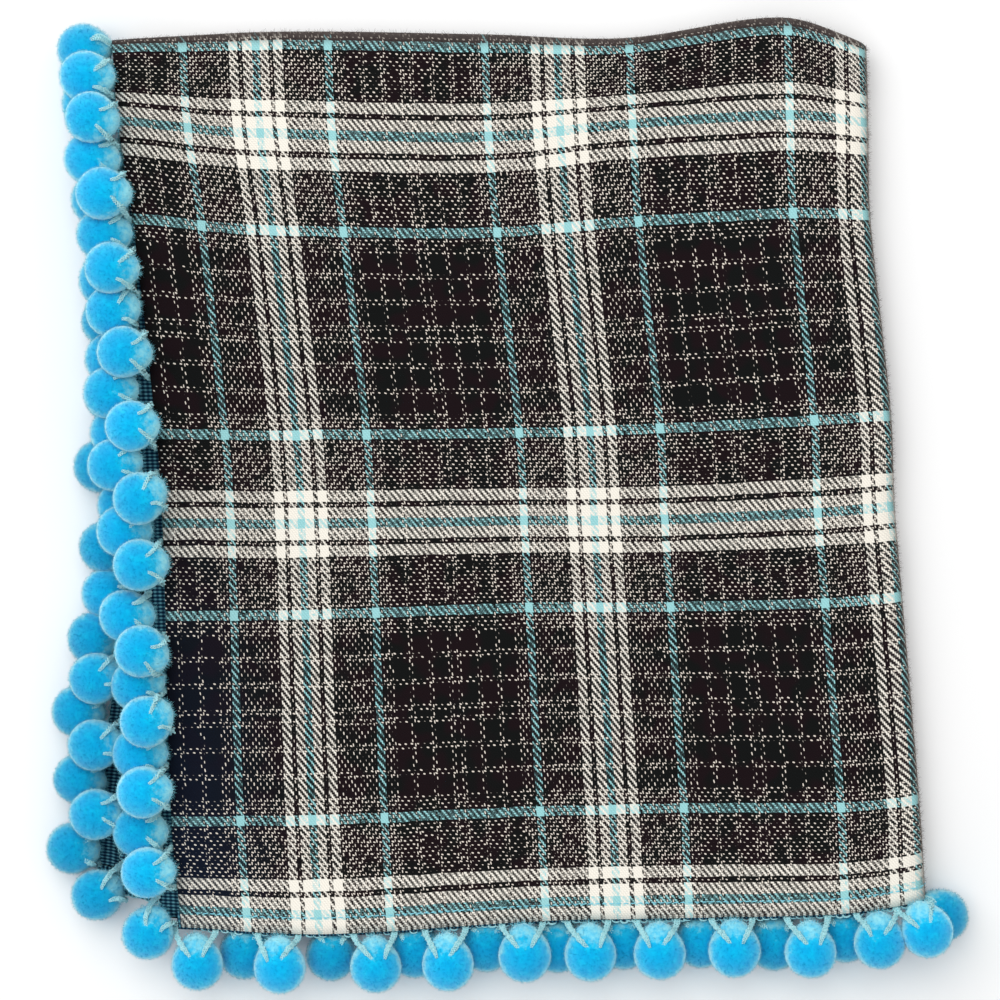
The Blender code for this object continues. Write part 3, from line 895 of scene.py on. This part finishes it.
def build_pompoms(name, pompoms, core, material, rng):
    """Pompoms as one mesh, which keeps how far out, how pale and how bright each of its points is: lower
    layers' pompoms darker with painted shade, and each varying in tone at random.
    """
    gathered = {"points": [], "faces": [], "tip": [], "pale": [], "shade_and_tone": []}
    count = 0
    for pompom in pompoms:
        centre = np.array(pompom["centre"])
        heading = level_heading(pompom["root"], centre)
        centre[2] = max(centre[2], FLUFF_HALF_HEIGHT * LOWEST_CENTRE)
        points, faces, tip, pale = pompom_arrays(centre, heading, NECK[pompom["side"]], core, rng)
        points[:, 2] = np.maximum(points[:, 2], FLOOR_GAP)
        shade_and_tone = np.full(len(points), LAYER_PAINTED_SHADES[pompom["layer"] - 1] * rng.uniform(*TONE_SPREAD))
        for values, own in zip(gathered.values(), (points, faces + count, tip, pale, shade_and_tone)):
            values.append(own)
        count += len(points)
    whole = {key: np.concatenate(values) for key, values in gathered.items()}
    thing = mesh_object(name, whole["points"].tolist(), whole["faces"].tolist(), material)
    for key in ("tip", "pale", "shade_and_tone"):
        share = thing.data.attributes.new(key, "FLOAT", "POINT")
        share.data.foreach_set("value", whole[key].astype(np.float32))
    return thing


def hem_tape(u):
    """How far the bottom tape shows beyond the hem: little above, and more on the lowest layer."""
    return HEM_TAPE + (LOWER_HEM_TAPE - HEM_TAPE) * smooth(0.5 + u / (2 * FOLD_RADIUS))


def build_tape(side, material):
    """The strip that is sewn behind one edge, on the same folds as its solid."""
    places = []
    if side == "bottom":
        stations = [-HALF_WIDTH - TAPE_CORNER, *across_stations(TAPE_STEP), HALF_WIDTH + TAPE_CORNER]
        for inside, share in ((TAPE_INSIDE, 0.0), (0.0, 0.0), (0.0, 1.0)):
            places.append([(u, inside - HALF_LENGTH - share * hem_tape(u)) for u in stations])
        return grid_object("tape_" + side, places, -TAPE_LIFT, material)
    sign = -1 if side == "left" else 1
    start = -(HALF_LENGTH - TAPE_INSIDE - TAPE_END_GAP)
    end = HALF_LENGTH - TAPE_HEM_GAP
    inner = [(v, share) for v, share in along_stations(TAPE_STEP) if v is None or start < v < end]
    for beyond in (-TAPE_INSIDE, -TAPE_INSIDE / 2, TAPE_OUTSIDE):
        u = sign * (HALF_WIDTH + beyond)
        tucked = sign * (HALF_WIDTH + min(beyond, TUCKED))
        row = [start, *(turn_place(u, share) if v is None else v for v, share in inner), end]
        places.append([(tucked if side == "left" and v < TUCKED_TO else u, v) for v in row])
    return grid_object("tape_" + side, places, -TAPE_LIFT, material, turned=True)


def build_picots(side, material, rng):
    """The little loops of the tape's outer edge, uneven and in places pressed flat behind it."""
    tubes = Tubes(5)
    half = HALF_WIDTH if side == "bottom" else HALF_LENGTH - TAPE_INSIDE
    count = round(2 * half / PICOT_PITCH)
    for index in range(count):
        start = -half + 2 * half * index / count
        if (side == "left" and start < TUCKED_TO) or rng.random() > PICOT_SHARE:
            continue
        edge = hem_tape(start) if side == "bottom" else TAPE_OUTSIDE
        reach = rng.uniform(*PICOT_REACH)
        start += rng.normal(0.0, PICOT_SHIFT) * PICOT_PITCH
        path = []
        for turn in np.linspace(0.0, math.pi, PICOT_POINTS):
            place = start + PICOT_PITCH * (0.5 - PICOT_HALF_WIDTH * math.cos(turn))
            beyond = edge - PICOT_ROOT + reach * math.sin(turn)
            lift = -TAPE_LIFT + PICOT_WEAVE * math.cos(turn)
            path.append(cloth_point(*edge_place(side, place, beyond), lift))
        tubes.add(np.array(path), rng.uniform(*PICOT_RADIUS))
    return tubes.build("picots_" + side, material)


def build_stitches(material):
    """Topstitching on the right side along the bottom edge, pressed in where it meets the floor."""
    tubes = Tubes(6)
    lift = CLOTH_THICK / 2 + STITCH_LIFT
    for index in range(round(2 * (HALF_WIDTH - STITCH_INSET) / STITCH_PITCH)):
        start = -HALF_WIDTH + STITCH_INSET + index * STITCH_PITCH
        path = []
        for share in np.linspace(0.0, 1.0, len(STITCH_SWELL)):
            place = start + share * STITCH_LENGTH
            dip = STITCH_DIP * (2 * share - 1) ** 4
            path.append(cloth_point(*edge_place("bottom", place, -STITCH_INSET), lift - dip))
        path = np.array(path)
        path[:, 2] = np.maximum(path[:, 2], STITCH_RADIUS)
        tubes.add(path, np.array(STITCH_SWELL) * STITCH_RADIUS)
    return tubes.build("topstitching", material)


def build_fuzz(material, rng):
    """Short loose fibres that stand off the cloth along its top and right folds."""
    tubes = Tubes(3)
    for index in range(FUZZ_FIBRES):
        band = rng.uniform(-1, 1) * FUZZ_BAND
        if index % 2:
            u, v = rng.uniform(-HALF_WIDTH, 0.0), band
        else:
            u, v = band - FUZZ_BAND, rng.uniform(-HALF_LENGTH, 0.0)
        lean_u, lean_v = rng.normal(0.0, FUZZ_LEAN, 2)
        reach = FUZZ_REACH * rng.random() ** FUZZ_SHORTER
        root = cloth_point(u, v, FUZZ_ROOT)
        tip = cloth_point(u + lean_u, v + lean_v, FUZZ_ROOT + reach)
        tubes.add(np.array((root, tip)), np.array(FUZZ_RADIUS))
    return tubes.build("fold_fuzz", material)


def method(operation):
    """A method that makes a math node."""
    def made(self, *others):
        return self.nodes.math(operation, self, *others)
    return made


class Value:
    """What flows between shader nodes, so that sums can be written as sums."""

    def __init__(self, nodes, socket):
        self.nodes = nodes
        self.socket = socket

    __add__ = method("ADD")
    __sub__ = method("SUBTRACT")
    __mul__ = method("MULTIPLY")
    __truediv__ = method("DIVIDE")
    __abs__ = method("ABSOLUTE")

    def __rsub__(self, other):
        return self.nodes.math("SUBTRACT", other, self)


class Nodes:
    """Builds a material's nodes with short calls."""

    def __init__(self, name):
        self.material = bpy.data.materials.new(name)
        self.material.use_nodes = True
        self.tree = self.material.node_tree
        self.surface = self.tree.nodes["Principled BSDF"]

    def fill(self, node, inputs):
        """Links or sets a node's inputs, given by name or number."""
        for key, value in inputs.items():
            socket = node.inputs[key]
            if isinstance(value, Value):
                self.tree.links.new(value.socket, socket)
            elif socket.type == "RGBA":
                socket.default_value = (*value, 1.0)
            else:
                socket.default_value = value

    def node(self, kind, inputs, **settings):
        made = self.tree.nodes.new("ShaderNode" + kind)
        for key, value in settings.items():
            setattr(made, key, value)
        self.fill(made, inputs)
        return made

    def value(self, kind, inputs, output=0, **settings):
        return Value(self, self.node(kind, inputs, **settings).outputs[output])

    def parts(self, kind, value):
        """The three parts of a colour or a vector."""
        return [Value(self, part) for part in self.node("Separate" + kind, {0: value}).outputs]

    def math(self, operation, *values):
        return self.value("Math", dict(enumerate(values)), operation=operation)

    def mix(self, factor, low, high, blend="MIX"):
        return self.value("Mix", {0: factor, 6: low, 7: high}, 2, data_type="RGBA", blend_type=blend)

    def shaded(self, colour, shade):
        """A colour times a number."""
        grey = self.value("CombineColor", {0: shade, 1: shade, 2: shade})
        return self.mix(1.0, colour, grey, "MULTIPLY")

    def ramp(self, value, stops, interpolation="LINEAR"):
        made = self.node("ValToRGB", {0: value})
        made.color_ramp.interpolation = interpolation
        elements = made.color_ramp.elements
        while len(elements) < len(stops):
            elements.new(0.5)
        for element, (place, colour) in zip(elements, stops):
            element.position = place
            element.color = (*colour, 1.0)
        return Value(self, made.outputs[0])

    def smoothstep(self, value, low, high):
        inputs = dict(enumerate((value, low, high, 0.0, 1.0)))
        return self.value("MapRange", inputs, interpolation_type="SMOOTHSTEP")

    def noise(self, vector, scale, detail, roughness=0.5, output="Fac"):
        inputs = {"Vector": vector, "Scale": scale, "Detail": detail, "Roughness": roughness}
        return self.value("TexNoise", inputs, output)

    def attribute(self, name):
        return self.value("Attribute", {}, "Fac", attribute_name=name, attribute_type="GEOMETRY")

    def random(self, x, y, z):
        place = self.value("CombineXYZ", {0: x, 1: y, 2: z})
        return self.value("TexWhiteNoise", {"Vector": place}, "Value", noise_dimensions="3D")

    def flat_places(self):
        """The flat sheet's coordinates, in metres: across, along, and both as a vector."""
        flat = self.value("UVMap", {}, uv_map="flat")
        return *self.parts("XYZ", flat)[:2], flat

    def sheen(self, weight, roughness, tint):
        self.fill(self.surface, {"Sheen Weight": weight, "Sheen Roughness": roughness, "Sheen Tint": tint})

    def finish(self, colour, roughness, height=None, depth=0.0, bump=0.0):
        inputs = {"Base Color": colour, "Roughness": roughness, "Specular IOR Level": SPECULAR}
        if height is not None:
            inputs["Normal"] = self.value("Bump", {"Strength": bump, "Distance": depth, "Height": height})
        self.fill(self.surface, inputs)
        return self.material


def sett_colour(nodes, thread, dark):
    """The colour of a numbered thread, counted from the middle of a pale band, both ways alike.  Then
    whether it is pale, lone and turquoise."""
    distance = nodes.math("ROUND", nodes.math("PINGPONG", thread, float(HALF_SETT)))
    stops = [(first / SETT_SCALE, SETT_KINDS[kind]) for first, kind in SETT]
    kinds = nodes.ramp((distance + 0.5) / SETT_SCALE, stops, "CONSTANT")
    turquoise, cream, lone = nodes.parts("Color", kinds)
    odd = nodes.math("GREATER_THAN", nodes.math("MODULO", distance, 2.0), 0.5)
    always = nodes.math("COMPARE", lone, 0.5, 0.25)
    lone = always + nodes.math("GREATER_THAN", lone, 0.75) * odd
    colour = nodes.mix(lone, dark, ECRU)
    colour = nodes.mix(cream, colour, CREAM)
    colour = nodes.mix(turquoise, colour, TURQUOISE)
    return colour, turquoise + cream, lone, turquoise


def twill_material():
    nodes = Nodes("brushed_twill")
    u, v, flat = nodes.flat_places()
    ways = nodes.parts("Color", nodes.noise(flat, WAVER_SCALE, WAVER_DETAIL, output="Color"))
    u = u + (ways[0] - 0.5) * WAVER
    v = v + (ways[1] - 0.5) * WAVER
    v = v + nodes.smoothstep(abs(v), DRAWN_REACH, 0.0) * DRAWN_DOWN
    warp_place = (u - WARP_BAND) / WARP_PITCH + 0.5
    weft_place = (v - WEFT_BAND) / WEFT_PITCH + 0.5
    warp = nodes.math("FLOOR", warp_place)
    weft = nodes.math("MAXIMUM", nodes.math("FLOOR", weft_place), LAST_WEFT)
    over_warp = nodes.math("FRACT", warp_place)
    over_weft = nodes.math("FRACT", weft_place)

    # Two over, two under, each row one thread further on
    diagonal = warp + weft
    step = nodes.math("FLOORED_MODULO", diagonal, 4.0)
    warp_up = nodes.math("LESS_THAN", step, 1.5)
    weft_up = 1.0 - warp_up

    def upper(of_warp, of_weft):
        """Whichever of two values belongs to the thread that lies on top."""
        return warp_up * of_warp + weft_up * of_weft

    # Darks drift between plum and green-black, with a painted navy shade towards the left edge near the hem
    patch = nodes.smoothstep(nodes.noise(flat, PATCH_SCALE, 1.0), *PATCH_EDGES)
    dark = nodes.mix(patch, PLUM, GREEN_BLACK)
    dark = nodes.mix(nodes.smoothstep(u, *NAVY_SHADE_ACROSS) * nodes.smoothstep(v, *NAVY_SHADE_ALONG), dark, PAINTED_NAVY_SHADE)
    warp_colour, warp_pale, warp_lone, warp_turquoise = sett_colour(nodes, warp, dark)
    weft_colour, weft_pale, weft_lone, weft_turquoise = sett_colour(nodes, weft, dark)

    # Each float is round across its thread and dips under at its ends
    along = upper(step + over_weft, step - 2.0 + over_warp) - 1.0
    across = upper(over_warp, over_weft) - 0.5 + along * FLOAT_SLANT
    crown = 1.0 - nodes.math("POWER", abs(across) * 2.0, 2.0)
    ends = 1.0 - nodes.math("POWER", abs(along), FLOAT_END_POWER)
    height = nodes.math("MAXIMUM", crown * ends, 0.0)

    # Uneven yarn: every float has its own strength, and pale floats let the crossing thread show round them
    floats = nodes.math("FLOOR", diagonal / 4.0)
    yarn = nodes.random(upper(warp, weft), floats, warp_up)
    slub = nodes.noise(flat, SLUB_SCALE, 3.0, 0.6)
    body = height * ((yarn * YARN_RANGE + YARN_LOW) * (slub * SLUB_RANGE + SLUB_LOW))
    top_turquoise = upper(warp_turquoise, weft_turquoise)
    top_lone = upper(warp_lone, weft_lone)
    top_pale = upper(warp_pale, weft_pale)
    stripe_bare = 1.0 - nodes.smoothstep(body - top_turquoise * TURQUOISE_THIN, *STRIPE_COVER)
    lone_bare = 1.0 - nodes.smoothstep(body, *LONE_COVER)
    of_dark = (1.0 - top_pale) * upper(OVER_WEFT_BARE, OVER_WARP_BARE)
    showing = top_pale * PALE_BARE + of_dark + top_turquoise * TURQUOISE_BARE
    showing = nodes.math("MINIMUM", showing, 1.0)
    bare = stripe_bare * showing * (1.0 - top_lone) + lone_bare * top_lone
    top = nodes.mix(warp_up, weft_colour, warp_colour)
    under = nodes.mix(warp_up, warp_colour, weft_colour)
    under = nodes.mix(nodes.math("MAXIMUM", warp_lone, weft_lone), under, dark)
    colour = nodes.mix(bare, top, under)
    # Painted shade: each float darker towards its sides and ends, where it dips under
    colour = nodes.shaded(colour, height * FLOAT_SHADE + (1.0 - FLOAT_SHADE))

    # Brushed along both folds, with a grey-brown band there: partly wear, partly painted sheen of the fuzz
    # seen aslant
    to_fold = nodes.math("MINIMUM", abs(v - DRAWN_DOWN), abs(u))
    worn_and_sheen = nodes.smoothstep(to_fold, WORN_SHEEN_REACH, 0.0) * (slub * WORN_SHEEN_RANGE + WORN_SHEEN_LOW)
    colour = nodes.mix(worn_and_sheen, colour, WORN_AND_SHEEN)
    nodes.sheen(weight=0.01, roughness=0.6, tint=(0.75, 0.72, 0.70))
    return nodes.finish(colour, roughness=0.95, height=height, depth=WEAVE_DEPTH, bump=0.25)


def pompom_material():
    nodes = Nodes("pompom_yarn")
    tip, pale, shade_and_tone = (nodes.attribute(name) for name in ("tip", "pale", "shade_and_tone"))
    place = nodes.value("TexCoord", {}, "Object")

    # Brushed clumps carry the pale yarn, partly painted sheen, and the deep yarn into each other
    clumps = (nodes.noise(place, CLUMP_SCALE, 4.0, 0.65) - 0.5) * CLUMPS
    share = pale + (clumps + tip * TIP_PALE)
    colour = nodes.ramp(share, ((0.0, POMPOM_CORE), (0.40, POMPOM_MIDDLE), (1.0, POMPOM_PALE)))

    # A haze of fine fibres at the outline of the smooth core
    facing = nodes.value("LayerWeight", {"Blend": HAZE_BLEND}, "Facing")
    haze = facing * nodes.math("LESS_THAN", tip, CORE_BELOW) * shade_and_tone
    nodes.sheen(weight=haze, roughness=0.75, tint=(0.80, 0.96, 1.0))
    yarn = nodes.noise(place, YARN_SCALE, 3.0, 0.7)
    # The colour is darkened by the painted shade of the lower layers and by the random tone
    return nodes.finish(nodes.shaded(colour, shade_and_tone), roughness=0.9, height=yarn, depth=0.6 * MM, bump=0.25)


def cord_material():
    nodes = Nodes("loop_cord")
    fibre = nodes.noise(nodes.value("TexCoord", {}, "Object"), CORD_SCALE, 2.0, 0.6)
    nodes.sheen(weight=0.3, roughness=0.4, tint=(0.8, 0.95, 1.0))
    colour = nodes.mix(fibre, CORD_SHADE, CORD_PALE)
    return nodes.finish(colour, roughness=0.8, height=fibre, depth=0.2 * MM, bump=0.4)


def tape_material():
    nodes = Nodes("ribbed_tape")
    u, v, _ = nodes.flat_places()
    rib = nodes.math("SINE", u * (2 * math.pi / RIB_PITCH))
    cross = nodes.math("SINE", v * (2 * math.pi / ROW_PITCH))
    height = rib * RIB_HEIGHT + cross * ROW_HEIGHT + 0.5
    # Painted shade and light: the ribs' troughs dark and their crests pale, and the whole tape darkened as if
    # in the shade under the hem
    colour = nodes.ramp(height, ((0.15, TAPE_TROUGH_SHADE), (0.55, TAPE_SHADED_MIDDLE), (0.95, TAPE_CREST_LIGHT)))
    return nodes.finish(colour, roughness=0.85, height=height, depth=0.5 * MM, bump=0.8)


def thread_material():
    nodes = Nodes("stitch_thread")
    nodes.sheen(weight=0.2, roughness=0.4, tint=(0.9, 1.0, 1.0))
    return nodes.finish(STITCH_BLUE, roughness=0.7)


def build_object():
    """All the visible pieces, each riding on the one body and standing for its solid."""
    cord = cord_material()
    tape_cloth = tape_material()
    yarn = pompom_material()

    places = []
    stations = across_stations(CLOTH_STEP)
    for v, share in along_stations(CLOTH_STEP):
        places.append([(u, turn_place(u, share) if v is None else v) for u in stations])
    cloth = grid_object("plaid_cloth", places, 0.0, twill_material())
    thicken(cloth, CLOTH_THICK)
    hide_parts("cloth")

    grey = Nodes("cloth_fuzz").finish(FUZZ_GREY, roughness=0.9)
    fuzz = build_fuzz(grey, np.random.default_rng(FUZZ_SEED))
    others = [build_stitches(thread_material())]
    settled = settled_pompoms()
    core = icosphere(3)
    for number, side in enumerate(("left", "right", "bottom")):
        own = [pompom for pompom in settled if pompom["side"] == side]
        tape = build_tape(side, tape_cloth)
        thicken(tape, TAPE_THICK)
        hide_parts("trim_" + side)
        braids = Tubes(5)
        for pompom in own:
            for path in loop_paths(pompom):
                add_braid(braids, path)
        rng = np.random.default_rng(TRIM_SEED + number)
        others += [tape, build_picots(side, cord, rng), braids.build("loops_" + side, cord)]
        for part in (0, 1):
            others.append(build_pompoms("pompoms_%s_%d" % (side, part + 1), own[part::2], core, yarn, rng))
    others.append(fuzz)
    for thing in [cloth, *others]:
        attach(thing, "root")
    return cloth, others


def build_stage():
    bpy.ops.mesh.primitive_plane_add(size=FLOOR_SIZE)
    floor = bpy.context.object
    floor.name = "floor"
    floor.data.materials.append(Nodes("pale_floor").finish(FLOOR_TONE, roughness=0.9))

    world = bpy.data.worlds.new("studio")
    world.use_nodes = True
    background = world.node_tree.nodes["Background"]
    background.inputs["Color"].default_value = (1.0, 1.0, 1.0, 1.0)
    background.inputs["Strength"].default_value = WORLD_STRENGTH
    bpy.context.scene.world = world
    bpy.context.scene.view_settings.view_transform = "Standard"

    light = bpy.data.lights.new("key", "AREA")
    light.energy = KEY_POWER
    light.size = KEY_SIZE
    key = add_object("key", light, KEY_PLACE)
    key.rotation_mode = "QUATERNION"
    key.rotation_quaternion = (-Vector(KEY_PLACE)).to_track_quat("-Z", "Y")

    lens = bpy.data.cameras.new("camera")
    lens.sensor_width = SENSOR
    lens.lens = SENSOR * CAMERA_HEIGHT / VIEW_WIDTH
    place = (-CENTRE_X, -VIEW_DOWN - CENTRE_Y, CAMERA_HEIGHT + VIEW_LEVEL)
    bpy.context.scene.camera = add_object("camera", lens, place)
    return floor


floor = build_stage()
cloth, others = build_object()
